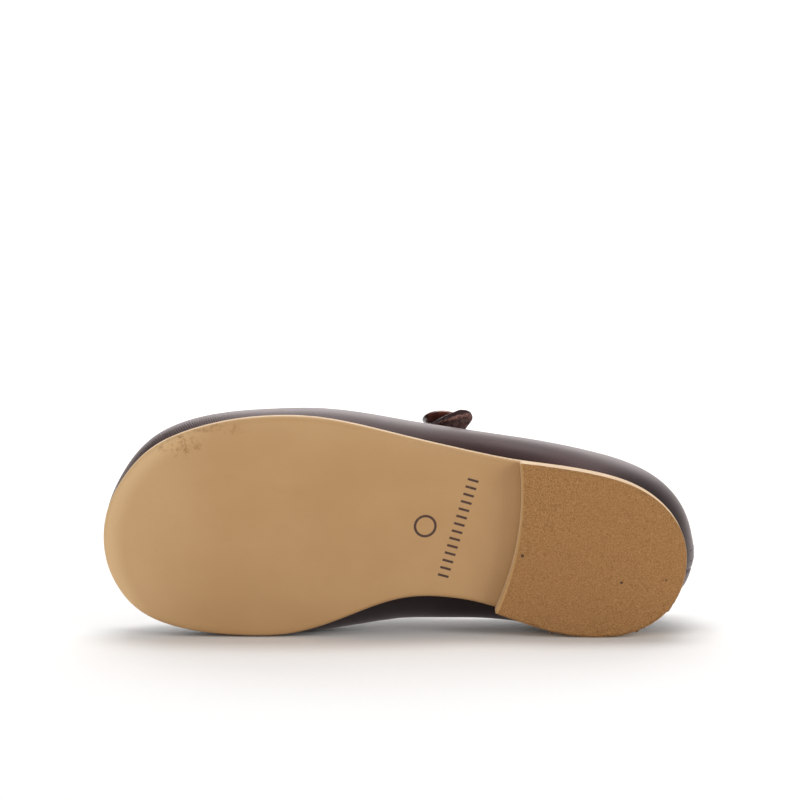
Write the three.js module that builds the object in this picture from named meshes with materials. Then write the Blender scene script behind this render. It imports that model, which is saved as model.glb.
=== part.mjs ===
// A child's leather shoe with a button strap over the instep, for the left foot, lying on its inner side.
// Millimetres. Every piece is drawn in the shoe's own frame: x runs from the back of the heel to the toe,
// y from the middle to the outer side of the foot, and z up from the ground that the shoe stands on.
// The last step turns the whole shoe onto its inner side, where it comes to rest by its own weight.
import * as THREE from 'three';
import { mergeVertices } from 'three/addons/utils/BufferGeometryUtils.js';
import { ConvexHull } from 'three/addons/math/ConvexHull.js';

// Sizes of the outsole and the heel lift
const SOLE_LENGTH = 164.5;
const BALL_WIDTH = 64;
const WAIST_WIDTH = 42.8;
const HEEL_WIDTH = 45.2;
const SOLE_THICKNESS = 3;
const SOLE_BEVEL = 0.7;
const TOE_SPRING = 6;
const BALL_FLAT = 32;
const LIFT_HEIGHT = 5.8;
const LIFT_PROUD = 0.6;
const LIFT_BEVEL = 0.5;
const BREAST_LATERAL = 48.6;
const BREAST_MEDIAL = 51.6;
const BREAST_HOLLOW = 3;
const SEAT_MARGIN = 3;

// Sizes of the upper and the insole
const WALL = 2;
const SOLE_LEDGE = 1.2;
const OPENING_LENGTH = 109;
const OPENING_WIDTH = 42.5;
const OPENING_SETBACK = 1.5;
const BACK_HEIGHT = 46.5;
const SIDE_HEIGHT = 35.5;
const THROAT_HEIGHT = 39.5;
const LATERAL_FULLNESS = 3.8;
const MEDIAL_FULLNESS = 9.2;
const RIM_ROUND = 0.6;
const LAP_STEP = 0.9;
const LAP_WIDTH = 9;
const LAP_OFFSET = 3;
const LAP_CUT = 0.25;
const LAP_FLAT_SHARE = 0.3;
const INSOLE_THICKNESS = 1.6;

// Sizes of the strap and its button
const STRAP_WIDTH = 10.5;
const STRAP_THICKNESS = 2.6;
const STRAP_CHAMFER = 0.6;
const STRAP_TOP = 50;
const STRAP_MEDIAL_ALONG = 77;
const STRAP_TIP_ALONG = 66.6;
const STRAP_TIP_ROUND = 3.6;
const BUTTON_DIAMETER = 11.4;
const BUTTON_HEIGHT = 3.2;
const BUTTON_FROM_TIP = 10.5;
const BUTTON_UNDERSIDE = 0.7;
const BUTTON_CLEARANCE = 0.5;

// The clearance between two pieces that lie on each other
const GAP = 0.3;

// Weights of the materials, in grams for each cubic millimetre
const LEATHER_DENSITY = 0.00086;
const SOLE_DENSITY = 0.00105;
const LIFT_DENSITY = 0.00118;
const BOARD_DENSITY = 0.0007;
const BUTTON_DENSITY = 0.0013;

// How finely the forms are divided
const COLUMNS_A_ROW = 3;
const WALL_ROWS = 12;
const SHEET_REACHES = [0, 0.45, 0.8];
const BREAST_STEPS = 12;
const STRAP_STEPS = 24;
const TIP_STEPS = 5;
const BUTTON_SIDES = 28;
const DOME_STEPS = 6;

// How finely the curves are measured
const SPLINE_PASSES = 60;
const HALVINGS = 36;
const CURVE_SAMPLES = Array.from({ length: 39 }, (_, i) => (i + 1) / 40);
const NEXT_PLACE = 0.02;
const NEXT_SHARE = 0.01;
const WELD = 0.001;

// The sole's edge, a row for each section from the heel to the toe tip: along is a share of the sole's
// length, lateral and medial are the distances from the middle line as shares of the width named in of.
const OUTLINE = [
  { along: 0.000, lateral: -0.053, medial: 0.053, of: HEEL_WIDTH },
  { along: 0.018, lateral: 0.192, medial: 0.308, of: HEEL_WIDTH },
  { along: 0.073, lateral: 0.374, medial: 0.478, of: HEEL_WIDTH },
  { along: 0.146, lateral: 0.458, medial: 0.540, of: HEEL_WIDTH },
  { along: 0.231, lateral: 0.489, medial: 0.518, of: HEEL_WIDTH },
  { along: 0.316, lateral: 0.533, medial: 0.467, of: WAIST_WIDTH },
  { along: 0.401, lateral: 0.575, medial: 0.425, of: WAIST_WIDTH },
  { along: 0.486, lateral: 0.631, medial: 0.454, of: WAIST_WIDTH },
  { along: 0.571, lateral: 0.461, medial: 0.396, of: BALL_WIDTH },
  { along: 0.657, lateral: 0.481, medial: 0.488, of: BALL_WIDTH },
  { along: 0.742, lateral: 0.464, medial: 0.520, of: BALL_WIDTH },
  { along: 0.821, lateral: 0.416, medial: 0.521, of: BALL_WIDTH },
  { along: 0.894, lateral: 0.333, medial: 0.492, of: BALL_WIDTH },
  { along: 0.948, lateral: 0.216, medial: 0.419, of: BALL_WIDTH },
  { along: 0.987, lateral: 0.046, medial: 0.284, of: BALL_WIDTH },
  { along: 1.000, lateral: -0.119, medial: 0.119, of: BALL_WIDTH },
];

// The opening's edge above the same sections: along is a share of the opening's length, lateral and medial
// of its width, and rise goes from the height of the side, 0, to the height named in to, 1.
const OPENING = [
  { along: 0.000, lateral: -0.042, medial: 0.042, rise: 1.00, to: BACK_HEIGHT },
  { along: 0.028, lateral: 0.180, medial: 0.250, rise: 0.95, to: BACK_HEIGHT },
  { along: 0.096, lateral: 0.330, medial: 0.400, rise: 0.77, to: BACK_HEIGHT },
  { along: 0.206, lateral: 0.410, medial: 0.470, rise: 0.46, to: BACK_HEIGHT },
  { along: 0.335, lateral: 0.450, medial: 0.494, rise: 0.19, to: BACK_HEIGHT },
  { along: 0.463, lateral: 0.480, medial: 0.498, rise: 0.04, to: BACK_HEIGHT },
  { along: 0.592, lateral: 0.502, medial: 0.502, rise: 0.00, to: BACK_HEIGHT },
  { along: 0.711, lateral: 0.510, medial: 0.508, rise: 0.12, to: THROAT_HEIGHT },
  { along: 0.807, lateral: 0.490, medial: 0.500, rise: 0.33, to: THROAT_HEIGHT },
  { along: 0.876, lateral: 0.432, medial: 0.462, rise: 0.53, to: THROAT_HEIGHT },
  { along: 0.922, lateral: 0.354, medial: 0.402, rise: 0.70, to: THROAT_HEIGHT },
  { along: 0.953, lateral: 0.273, medial: 0.333, rise: 0.82, to: THROAT_HEIGHT },
  { along: 0.975, lateral: 0.193, medial: 0.263, rise: 0.90, to: THROAT_HEIGHT },
  { along: 0.990, lateral: 0.115, medial: 0.191, rise: 0.95, to: THROAT_HEIGHT },
  { along: 0.998, lateral: 0.038, medial: 0.115, rise: 0.98, to: THROAT_HEIGHT },
  { along: 1.000, lateral: -0.038, medial: 0.038, rise: 1.00, to: THROAT_HEIGHT },
];

// How far the wall stands out past the sole's edge at its fullest, as shares of the two fullnesses.
// The heel's back and the toe tip take the lateral share.
const FULLNESS = [
  { lateral: 1.00, medial: 0.42 },
  { lateral: 0.95, medial: 0.33 },
  { lateral: 0.84, medial: 0.24 },
  { lateral: 0.74, medial: 0.21 },
  { lateral: 0.95, medial: 0.34 },
  { lateral: 1.12, medial: 0.71 },
  { lateral: 1.00, medial: 0.99 },
  { lateral: 0.68, medial: 0.97 },
  { lateral: 0.45, medial: 0.66 },
  { lateral: 0.24, medial: 0.26 },
  { lateral: 0.15, medial: 0.07 },
  { lateral: 0.28, medial: 0.04 },
  { lateral: 0.36, medial: 0.04 },
  { lateral: 0.26, medial: 0.05 },
  { lateral: 0.12, medial: 0.05 },
  { lateral: 0.08, medial: 0.04 },
];

// The two inner handles of each wall section's curve. Rise is a share of the wall's height. The upper
// handle lies out from the opening's edge, by a length and by a share of how far the opening is set in.
const LOWER_HANDLE = { rise: 0.36 };
const UPPER_HANDLE = { rise: 0.74, out: 2, share: 0.8 };
const HANDLE_LIMIT = 60;

// The strap's way up the inside of the medial wall, as shares of the wall's section, and over the instep:
// across is a share of the way to the lateral rim, rise of the way up to the strap's top.
const STRAP_UP = [0.76, 0.90, 1.00];
const STRAP_OVER = [
  { across: 0.15, rise: 0.50 },
  { across: 0.38, rise: 0.93 },
  { across: 0.62, rise: 0.93 },
  { across: 0.85, rise: 0.50 },
];

// The strap's way down the lateral wall. Share is the place on the wall's section, slant how far the strap
// has come from its medial place along the shoe to its tip's, and twist how far it is turned, in degrees.
const STRAP_DOWN = [
  { share: 1.00, slant: 0.44, twist: 3 },
  { share: 0.88, slant: 0.62, twist: 8 },
  { share: 0.74, slant: 0.82, twist: 18 },
  { share: 0.59, slant: 1.00, twist: 27 },
];

// Shares up the medial and the lateral wall at which the strap takes its direction across from the wall
const STRAP_RUN = { medial: 0.9, lateral: 0.8 };

// The rounded tip stops a little short of its point, and its face keeps a share of its width
const TIP_END = 0.94;
const TIP_FACE = 0.2;

// The button's profile, as shares of its radius: the flat middle of the underside and its outer edge. The
// dome's roundness is 1 for a quarter of an ellipse and less for a fuller form.
const BUTTON_MIDDLE = 0.3;
const BUTTON_EDGE = 0.85;
const DOME_ROUNDNESS = 0.8;

// The rows between which the sole's middle line runs, and how squarely a resting face looks to the side
const MIDDLE_ROWS = [3, 11];
const RESTING_SIDE = 0.8;

const SEAT_HEIGHT = LIFT_HEIGHT + GAP;
const SEAT_END = Math.max(BREAST_LATERAL, BREAST_MEDIAL) + SEAT_MARGIN;
const BALL_ROW = OUTLINE[9].along / 2 + OUTLINE[10].along / 2;
const FLAT_START = BALL_ROW * SOLE_LENGTH - BALL_FLAT / 2;
const FLAT_END = FLAT_START + BALL_FLAT;

// Places round the shoe are numbered from the heel's back, 0, over the lateral rows to the toe tip and
// back over the medial rows. A closed cubic spline runs smoothly through one number for each place.
const ROUND = 2 * (OUTLINE.length - 1);

function roundTheShoe(rows, lateral, medial) {
  return closedSpline([...rows.map(lateral), ...rows.slice(1, -1).reverse().map(medial)]);
}

function closedSpline(values) {
  const count = values.length;
  const near = (list, i) => list[((i % count) + count) % count];
  let knots = values.slice();
  for (let pass = 0; pass < SPLINE_PASSES; pass++) {
    const reached = knots.map((knot, i) => (near(knots, i - 1) + 4 * knot + near(knots, i + 1)) / 6);
    knots = knots.map((knot, i) => knot + values[i] - reached[i]);
  }
  return (place) => {
    const i = Math.floor(place);
    const f = place - i;
    const shares = [(1 - f) ** 3, 3 * f ** 3 - 6 * f ** 2 + 4, -3 * f ** 3 + 3 * f ** 2 + 3 * f + 1, f ** 3];
    return shares.reduce((sum, share, k) => sum + (share * near(knots, i - 1 + k)) / 6, 0);
  };
}

// The number between low and high at which a test turns from true to false
function turningPoint(low, high, isBelow) {
  for (let pass = 0; pass < HALVINGS; pass++) {
    const half = (low + high) / 2;
    if (isBelow(half)) low = half;
    else high = half;
  }
  return low;
}

const edgeAlong = roundTheShoe(OUTLINE, (r) => r.along * SOLE_LENGTH, (r) => r.along * SOLE_LENGTH);
const edgeAcross = roundTheShoe(OUTLINE, (r) => r.lateral * r.of, (r) => -r.medial * r.of);
const openingPlace = (r) => OPENING_SETBACK + r.along * OPENING_LENGTH;
const openingAlong = roundTheShoe(OPENING, openingPlace, openingPlace);
const openingAcross = roundTheShoe(OPENING,
  (r) => r.lateral * OPENING_WIDTH, (r) => -r.medial * OPENING_WIDTH);
const openingRise = (r) => SIDE_HEIGHT + r.rise * (r.to - SIDE_HEIGHT);
const openingHeight = roundTheShoe(OPENING, openingRise, openingRise);
const fullness = roundTheShoe(FULLNESS,
  (r) => r.lateral * LATERAL_FULLNESS, (r) => r.medial * MEDIAL_FULLNESS);

// The direction in plan that points out of the sole's edge
function outward(place) {
  const dx = edgeAlong(place + NEXT_PLACE) - edgeAlong(place - NEXT_PLACE);
  const dy = edgeAcross(place + NEXT_PLACE) - edgeAcross(place - NEXT_PLACE);
  return new THREE.Vector2(-dy, dx).normalize();
}

// A point of the sole's edge, moved out in plan by a distance
function soleEdge(place, out = 0) {
  return new THREE.Vector2(edgeAlong(place), edgeAcross(place)).addScaledVector(outward(place), out);
}

// The height of the outsole's lower face: level over the lift, down through the waist, level under the
// ball of the foot and up again to the toe
function treadHeight(along) {
  const seat = SEAT_HEIGHT * (1 - THREE.MathUtils.smoothstep(along, SEAT_END, FLAT_START));
  const spring = Math.max(0, along - FLAT_END) / (SOLE_LENGTH - FLAT_END);
  return seat + TOE_SPRING * spring ** 2;
}

// The height at which the upper and the insole stand on the outsole
const footHeight = (along) => treadHeight(along) + SOLE_THICKNESS + GAP;

// The upper's wall: each section is a cubic curve from the sole's edge to the opening's edge. Its lower
// handle reaches out as far as the wall's fullest point asks.
const sections = new Map();

function cubic(a, b, c, d, s) {
  const r = 1 - s;
  return r ** 3 * a + 3 * r ** 2 * s * b + 3 * r * s ** 2 * c + s ** 3 * d;
}

function section(place) {
  if (sections.has(place)) return sections.get(place);
  const edge = soleEdge(place);
  const out = outward(place);
  const foot = soleEdge(place, -SOLE_LEDGE);
  const top = new THREE.Vector2(openingAlong(place), openingAcross(place));
  const beyond = (point) => point.clone().sub(edge).dot(out);
  const setIn = Math.max(0, beyond(foot) - beyond(top));
  const towards = foot.clone().sub(top).normalize().lerp(out, Math.exp(-setIn / WALL)).normalize();
  const upper = top.clone().addScaledVector(towards, UPPER_HANDLE.out + UPPER_HANDLE.share * setIn);
  const wanted = fullness(place);
  const fullest = (handle) =>
    Math.max(...CURVE_SAMPLES.map((s) => cubic(beyond(foot), handle, beyond(upper), beyond(top), s)));
  const handleOut = turningPoint(0, HANDLE_LIMIT, (handle) => fullest(handle) < wanted);
  const lower = soleEdge(place, handleOut);
  const base = footHeight(foot.x);
  const height = openingHeight(place) - base;
  const points = [
    new THREE.Vector3(foot.x, foot.y, base),
    new THREE.Vector3(lower.x, lower.y, base + LOWER_HANDLE.rise * height),
    new THREE.Vector3(upper.x, upper.y, base + UPPER_HANDLE.rise * height),
    new THREE.Vector3(top.x, top.y, base + height),
  ];
  const flare = (handleOut + SOLE_LEDGE) / (LOWER_HANDLE.rise * height);
  const found = { curve: new THREE.CubicBezierCurve3(...points), flare };
  sections.set(place, found);
  return found;
}

// At a share of the way up the wall: the direction up along it and the one straight out of it
function wallDirections(place, share) {
  const [before, here, after] = [place - NEXT_PLACE, place, place + NEXT_PLACE].map((p) => section(p).curve);
  const round = after.getPoint(share).sub(before.getPoint(share));
  const rising = here.getPoint(share + NEXT_SHARE).sub(here.getPoint(share - NEXT_SHARE)).normalize();
  return { rising, normal: rising.clone().cross(round).normalize() };
}

// A point of the wall's outer face at a share of the way up, moved off it by a distance
function wallPoint(place, share, off = 0) {
  return section(place).curve.getPoint(share).addScaledVector(wallDirections(place, share).normal, off);
}

// The foot of the wall's inner face, as far inside as the wall is thick where it slants
function innerFoot(place, further = 0) {
  const inset = SOLE_LEDGE + WALL * Math.hypot(1, section(place).flare) + further;
  return soleEdge(place, -inset);
}

const onSole = (point) => new THREE.Vector3(point.x, point.y, footHeight(point.x));

// The back seam: the lateral side laps over the medial side, with its cut edge a little to the medial
// side of the heel's middle. It stands proud at that edge and dies away under its own width.
const stationLength = soleEdge(0.5).distanceTo(soleEdge(-0.5));
const LAP_EDGE = -LAP_OFFSET / stationLength;
const LAP_EDGE_WIDTH = LAP_CUT / stationLength;

function lapProud(place) {
  const from = place > ROUND / 2 ? place - ROUND : place;
  if (from < LAP_EDGE + LAP_EDGE_WIDTH / 2) return 0;
  const share = (from - LAP_EDGE) / (LAP_WIDTH / stationLength);
  return LAP_STEP * (1 - THREE.MathUtils.smoothstep(share, LAP_FLAT_SHARE, 1));
}

// Solids

// One closed body from triangles whose ends may fall together, with its faces turned outwards
function solid(geometry) {
  const bare = geometry.index ? geometry.clone() : geometry;
  for (const name of Object.keys(bare.attributes)) if (name !== 'position') bare.deleteAttribute(name);
  const merged = mergeVertices(bare, WELD);
  const kept = [];
  for (let i = 0; i < merged.index.count; i += 3) {
    const corners = [0, 1, 2].map((k) => merged.index.getX(i + k));
    if (new Set(corners).size === 3) kept.push(...corners);
  }
  merged.setIndex(kept);
  if (bulk(merged).volume < 0) merged.setIndex(kept.map((_, i) => kept[i - (i % 3) + 2 - (i % 3)]));
  merged.computeVertexNormals();
  return merged;
}

// Volume and centre of a closed body
function bulk(geometry) {
  const centre = new THREE.Vector3();
  let volume = 0;
  for (let i = 0; i < geometry.index.count; i += 3) {
    const [a, b, c] = [0, 1, 2].map((k) =>
      new THREE.Vector3().fromBufferAttribute(geometry.attributes.position, geometry.index.getX(i + k)));
    const part = a.dot(b.clone().cross(c)) / 6;
    volume += part;
    centre.addScaledVector(a.add(b).add(c), part / 4);
  }
  return { volume, centre: centre.divideScalar(volume) };
}

// A skin over rings of points, either closed round from the last ring to the first or left as it is
function skin(rings, closed) {
  const count = rings[0].length;
  const index = [];
  for (let r = 0; r < rings.length - (closed ? 0 : 1); r++) {
    for (let c = 0; c < count; c++) {
      const [here, next] = [r * count, ((r + 1) % rings.length) * count];
      const [a, b, d, e] = [here + c, here + ((c + 1) % count), next + c, next + ((c + 1) % count)];
      index.push(a, b, e, a, e, d);
    }
  }
  const geometry = new THREE.BufferGeometry().setFromPoints(rings.flat());
  geometry.setIndex(index);
  return geometry;
}

const evenPlaces = Array.from({ length: ROUND * COLUMNS_A_ROW }, (_, i) => i / COLUMNS_A_ROW);

// The middle line of the sole, between the middles of the heel and of the toe
function middle(place) {
  const row = THREE.MathUtils.clamp(Math.min(place, ROUND - place), ...MIDDLE_ROWS);
  return soleEdge(row).add(soleEdge(ROUND - row)).multiplyScalar(0.5);
}

// A sheet under the foot, from the middle of its lower face out to its edge and back over its upper face
function sheet(edge, lower, thickness, bevel) {
  const rings = [];
  const add = (reach, inset, up) => rings.push(evenPlaces.map((place) => {
    const point = middle(place).lerp(edge(place, -inset), reach);
    return new THREE.Vector3(point.x, point.y, lower(point.x) + up);
  }));
  for (const reach of SHEET_REACHES) add(reach, bevel, 0);
  add(1, bevel, 0);
  add(1, 0, bevel);
  add(1, 0, thickness);
  for (const reach of SHEET_REACHES.toReversed()) add(reach, 0, thickness);
  return skin(rings, false);
}

function outsoleGeometry() {
  return sheet(soleEdge, treadHeight, SOLE_THICKNESS, SOLE_BEVEL);
}

function insoleGeometry() {
  return sheet((place, out) => innerFoot(place, GAP - out), footHeight, INSOLE_THICKNESS, 0);
}

// The place round the shoe where the sole's edge has come a length from the heel
function placeAt(side, along) {
  const place = turningPoint(0, ROUND / 2, (p) => edgeAlong(side === 'lateral' ? p : ROUND - p) < along);
  return side === 'lateral' ? place : ROUND - place;
}

// The lift follows the sole's edge round the heel, and its breast is hollow
function liftGeometry() {
  const [start, end] = [placeAt('medial', BREAST_MEDIAL) - ROUND, placeAt('lateral', BREAST_LATERAL)];
  const steps = Math.round((end - start) * COLUMNS_A_ROW);
  const proud = LIFT_PROUD - LIFT_BEVEL;
  const heel = Array.from({ length: steps + 1 },
    (_, i) => soleEdge(start + ((end - start) * i) / steps, proud));
  const [lateral, medial] = [heel[steps], heel[0]];
  const hollow = lateral.clone().add(medial).multiplyScalar(0.5);
  hollow.x -= 2 * BREAST_HOLLOW;
  const breast = new THREE.QuadraticBezierCurve(lateral, hollow, medial).getPoints(BREAST_STEPS).slice(1, -1);
  const shape = new THREE.Shape([...heel, ...breast]);
  const geometry = new THREE.ExtrudeGeometry(shape, {
    depth: LIFT_HEIGHT - 2 * LIFT_BEVEL, bevelThickness: LIFT_BEVEL, bevelSize: LIFT_BEVEL, bevelSegments: 1,
  });
  return geometry.translate(0, 0, LIFT_BEVEL);
}

function upperGeometry() {
  const seam = [LAP_EDGE + ROUND, LAP_EDGE + LAP_EDGE_WIDTH + ROUND];
  const places = [...evenPlaces, ...seam].sort((a, b) => a - b);
  const shares = Array.from({ length: WALL_ROWS + 1 }, (_, i) => i / WALL_ROWS);
  const outerRings = shares.map((share) => places.map((place) => wallPoint(place, share, lapProud(place))));
  outerRings[0].forEach((point) => { point.z = footHeight(point.x); });
  const innerRings = shares.slice(1).reverse()
    .map((share) => places.map((place) => wallPoint(place, share, -WALL)));
  const rim = places.map((place) => {
    const half = (lapProud(place) - WALL) / 2;
    return wallPoint(place, 1, half).addScaledVector(wallDirections(place, 1).rising, RIM_ROUND);
  });
  const foot = places.map((place) => onSole(innerFoot(place)));
  return skin([...outerRings, rim, ...innerRings, foot], true);
}

// The strap starts inside the medial wall, crosses the instep and comes down outside the lateral wall.
// Towards its tip it turns, so that its edge on the heel's side stands off the wall.
const strapOff = GAP + STRAP_THICKNESS / 2;

function strapPath() {
  const medial = placeAt('medial', STRAP_MEDIAL_ALONG);
  const inside = STRAP_UP.map((share) => wallPoint(medial, share, -WALL - strapOff));
  const rim = inside[inside.length - 1];
  const down = STRAP_DOWN.map(({ share, slant, twist }) => {
    const along = THREE.MathUtils.lerp(STRAP_MEDIAL_ALONG, STRAP_TIP_ALONG, slant);
    const lift = (Math.sin(THREE.MathUtils.degToRad(twist)) * STRAP_WIDTH) / 2;
    return wallPoint(placeAt('lateral', along), share, strapOff + lift);
  });
  const over = STRAP_OVER.map(({ across, rise }) => {
    const point = rim.clone().lerp(down[0], across);
    return point.setZ(THREE.MathUtils.lerp(point.z, STRAP_TOP - STRAP_THICKNESS / 2, rise));
  });
  return new THREE.CatmullRomCurve3([...inside, ...over, ...down], false, 'centripetal');
}

// How far the strap is turned at a share of its length, read between the rows of its way down
function strapTwist(path, share) {
  const row = path.getUtoTmapping(share, null) * (path.points.length - 1);
  const before = path.points.length - STRAP_DOWN.length;
  const twists = path.points.map((_, i) => STRAP_DOWN[i - before]?.twist ?? 0);
  const [from, to] = [twists[Math.floor(row)], twists[Math.ceil(row)]];
  return THREE.MathUtils.degToRad(THREE.MathUtils.lerp(from, to, row % 1));
}

// The direction along the shoe in which the wall runs at a place
function wallRun(place, share) {
  const { rising, normal } = wallDirections(place, share);
  const run = rising.clone().cross(normal);
  return run.multiplyScalar(Math.sign(run.x));
}

// The strap's own directions at a share of its length: along it, across it and out of its upper face.
// Across, it lies flat on the medial wall at its start and turns to lie along the lateral wall.
function strapFrame(path, share) {
  const tangent = path.getTangentAt(share);
  const start = wallRun(placeAt('medial', STRAP_MEDIAL_ALONG), STRAP_RUN.medial);
  const end = wallRun(placeAt('lateral', STRAP_TIP_ALONG), STRAP_RUN.lateral);
  const across = start.lerp(end, share);
  across.addScaledVector(tangent, -tangent.dot(across)).normalize();
  across.applyAxisAngle(tangent, strapTwist(path, share));
  return { point: path.getPointAt(share), across, out: across.clone().cross(tangent) };
}

function strapGeometry(path) {
  const length = path.getLength();
  const straight = length - STRAP_TIP_ROUND;
  const shares = Array.from({ length: STRAP_STEPS + 1 }, (_, i) => (straight * i) / STRAP_STEPS / length);
  const widths = shares.map(() => STRAP_WIDTH / 2);
  for (let i = 1; i <= TIP_STEPS; i++) {
    const turn = ((i / TIP_STEPS) * TIP_END * Math.PI) / 2;
    shares.push((straight + STRAP_TIP_ROUND * Math.sin(turn)) / length);
    widths.push((STRAP_WIDTH / 2) * Math.cos(turn));
  }
  const rings = shares.map((share, i) => {
    const { point, across, out } = strapFrame(path, share);
    const [a, b] = [widths[i], STRAP_THICKNESS / 2];
    const [ai, bi] = [Math.max(a - STRAP_CHAMFER, TIP_FACE * a), b - STRAP_CHAMFER];
    const corners = [[a, -bi], [a, bi], [ai, b], [-ai, b], [-a, bi], [-a, -bi], [-ai, -b], [ai, -b]];
    return corners.map(([x, y]) => point.clone().addScaledVector(across, x).addScaledVector(out, y));
  });
  const closing = (ring) => {
    const centre = ring.reduce((sum, p) => sum.add(p), new THREE.Vector3()).divideScalar(ring.length);
    return ring.map(() => centre);
  };
  return skin([closing(rings[0]), ...rings, closing(rings[rings.length - 1])], false);
}

// A domed button, with the middle of its shallow underside on the ground of its own frame
function buttonGeometry() {
  const radius = BUTTON_DIAMETER / 2;
  const rim = BUTTON_UNDERSIDE * 2;
  const profile = [[0, 0], [BUTTON_MIDDLE * radius, 0], [BUTTON_EDGE * radius, BUTTON_UNDERSIDE]];
  for (let i = 0; i < DOME_STEPS; i++) {
    const turn = (i / DOME_STEPS) * (Math.PI / 2);
    profile.push([radius * Math.cos(turn) ** DOME_ROUNDNESS, rim + (BUTTON_HEIGHT - rim) * Math.sin(turn)]);
  }
  profile.push([0, BUTTON_HEIGHT]);
  return new THREE.LatheGeometry(profile.map(([x, y]) => new THREE.Vector2(x, y)), BUTTON_SIDES);
}

// The pieces, each with its colour and finish
function piece(name, geometry, density, colour, roughness) {
  const material = new THREE.MeshStandardMaterial({ color: colour, roughness, metalness: 0 });
  const mesh = new THREE.Mesh(solid(geometry), material);
  mesh.name = name;
  mesh.userData.density = density;
  return mesh;
}

const path = strapPath();
const pieces = [
  piece('outsole', outsoleGeometry(), SOLE_DENSITY, 0xc19d6e, 0.6),
  piece('heel_lift', liftGeometry(), LIFT_DENSITY, 0x9c7248, 0.85),
  piece('insole', insoleGeometry(), BOARD_DENSITY, 0xb99a78, 0.8),
  piece('upper', upperGeometry(), LEATHER_DENSITY, 0x2c1c1e, 0.45),
  piece('strap', strapGeometry(path), LEATHER_DENSITY, 0x2c1c1e, 0.45),
];

const button = piece('button', buttonGeometry(), BUTTON_DENSITY, 0x4a241f, 0.2);
const seat = strapFrame(path, 1 - BUTTON_FROM_TIP / path.getLength());
button.position.copy(seat.point).addScaledVector(seat.out, STRAP_THICKNESS / 2 + BUTTON_CLEARANCE);
button.quaternion.setFromUnitVectors(new THREE.Vector3(0, 1, 0), seat.out);
pieces.push(button);

// Where the shoe comes to rest on its inner side: on the face of its hull that its weight falls in
function restingFace(meshes) {
  const points = [];
  const weightCentre = new THREE.Vector3();
  let weight = 0;
  for (const mesh of meshes) {
    mesh.updateMatrix();
    const positions = mesh.geometry.attributes.position;
    for (let i = 0; i < positions.count; i++) {
      points.push(new THREE.Vector3().fromBufferAttribute(positions, i).applyMatrix4(mesh.matrix));
    }
    const { volume, centre } = bulk(mesh.geometry);
    const mass = volume * mesh.userData.density;
    weight += mass;
    weightCentre.addScaledVector(centre.applyMatrix4(mesh.matrix), mass);
  }
  weightCentre.divideScalar(weight);
  const medial = new THREE.Vector3(0, -1, 0);
  const holds = (face) => {
    let edge = face.edge;
    do {
      const [from, to] = [edge.tail().point, edge.head().point];
      const side = to.clone().sub(from).cross(weightCentre.clone().sub(from)).dot(face.normal);
      if (side < 0) return false;
      edge = edge.next;
    } while (edge !== face.edge);
    return true;
  };
  const { faces } = new ConvexHull().setFromPoints(points);
  return faces.find((face) => face.normal.dot(medial) > RESTING_SIDE && holds(face));
}

const up = restingFace(pieces).normal.clone().negate();
const forward = new THREE.Vector3(1, 0, 0).addScaledVector(up, -up.x).normalize();
const backward = forward.clone().negate();
const turn = new THREE.Matrix4().makeBasis(backward, up.clone().cross(backward), up).transpose();

const shoe = new THREE.Group();
shoe.quaternion.setFromRotationMatrix(turn);
shoe.add(...pieces);
const box = new THREE.Box3().setFromObject(shoe, true);
shoe.position.set(-(box.min.x + box.max.x) / 2, -(box.min.y + box.max.y) / 2, -box.min.z);

export default shoe;
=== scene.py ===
# %% [markdown]
# # A child's mary jane shoe, lying on its inner side
# The packed model gives every piece of the shoe its place and size. This notebook dresses those pieces: it
# rounds their forms, adds seams and stitches, and gives each one its leather, rubber or horn.

# %% Load the packed shoe
import math
import bmesh
import bpy
from mathutils import Matrix, Vector, noise
from mathutils.bvhtree import BVHTree


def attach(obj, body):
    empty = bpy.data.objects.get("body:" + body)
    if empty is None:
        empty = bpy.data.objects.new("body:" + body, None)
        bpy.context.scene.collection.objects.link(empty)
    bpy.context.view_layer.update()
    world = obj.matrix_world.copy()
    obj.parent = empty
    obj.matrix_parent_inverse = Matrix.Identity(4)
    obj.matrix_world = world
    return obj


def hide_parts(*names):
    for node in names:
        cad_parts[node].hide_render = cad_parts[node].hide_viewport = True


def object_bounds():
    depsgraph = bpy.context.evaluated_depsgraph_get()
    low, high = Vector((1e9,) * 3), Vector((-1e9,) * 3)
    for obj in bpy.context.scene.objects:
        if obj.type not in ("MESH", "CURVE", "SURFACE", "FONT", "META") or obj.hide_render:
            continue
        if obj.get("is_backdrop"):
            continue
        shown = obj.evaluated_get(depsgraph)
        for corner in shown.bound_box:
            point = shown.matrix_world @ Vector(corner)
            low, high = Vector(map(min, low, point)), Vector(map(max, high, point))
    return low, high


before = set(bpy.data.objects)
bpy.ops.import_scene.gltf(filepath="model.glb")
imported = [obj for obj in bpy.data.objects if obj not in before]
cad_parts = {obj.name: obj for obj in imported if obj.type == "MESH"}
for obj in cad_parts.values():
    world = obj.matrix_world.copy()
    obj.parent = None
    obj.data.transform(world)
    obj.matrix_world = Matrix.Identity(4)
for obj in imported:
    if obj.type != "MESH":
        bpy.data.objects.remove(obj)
cad_low, cad_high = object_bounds()
MM = 0.001
print("nodes", sorted(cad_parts), "size in mm", [round(side / MM, 1) for side in cad_high - cad_low])

# %% [markdown]
# ## The shoe's own directions
# The shoe lies tilted, so its toe doesn't point straight along a row axis. A maker thinks in the shoe's own
# directions: along to the toe, across to the outer side, and height above the tread. They could be typed as
# angles, but measuring them from the flat face of the heel lift keeps them right if the model changes.

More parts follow.
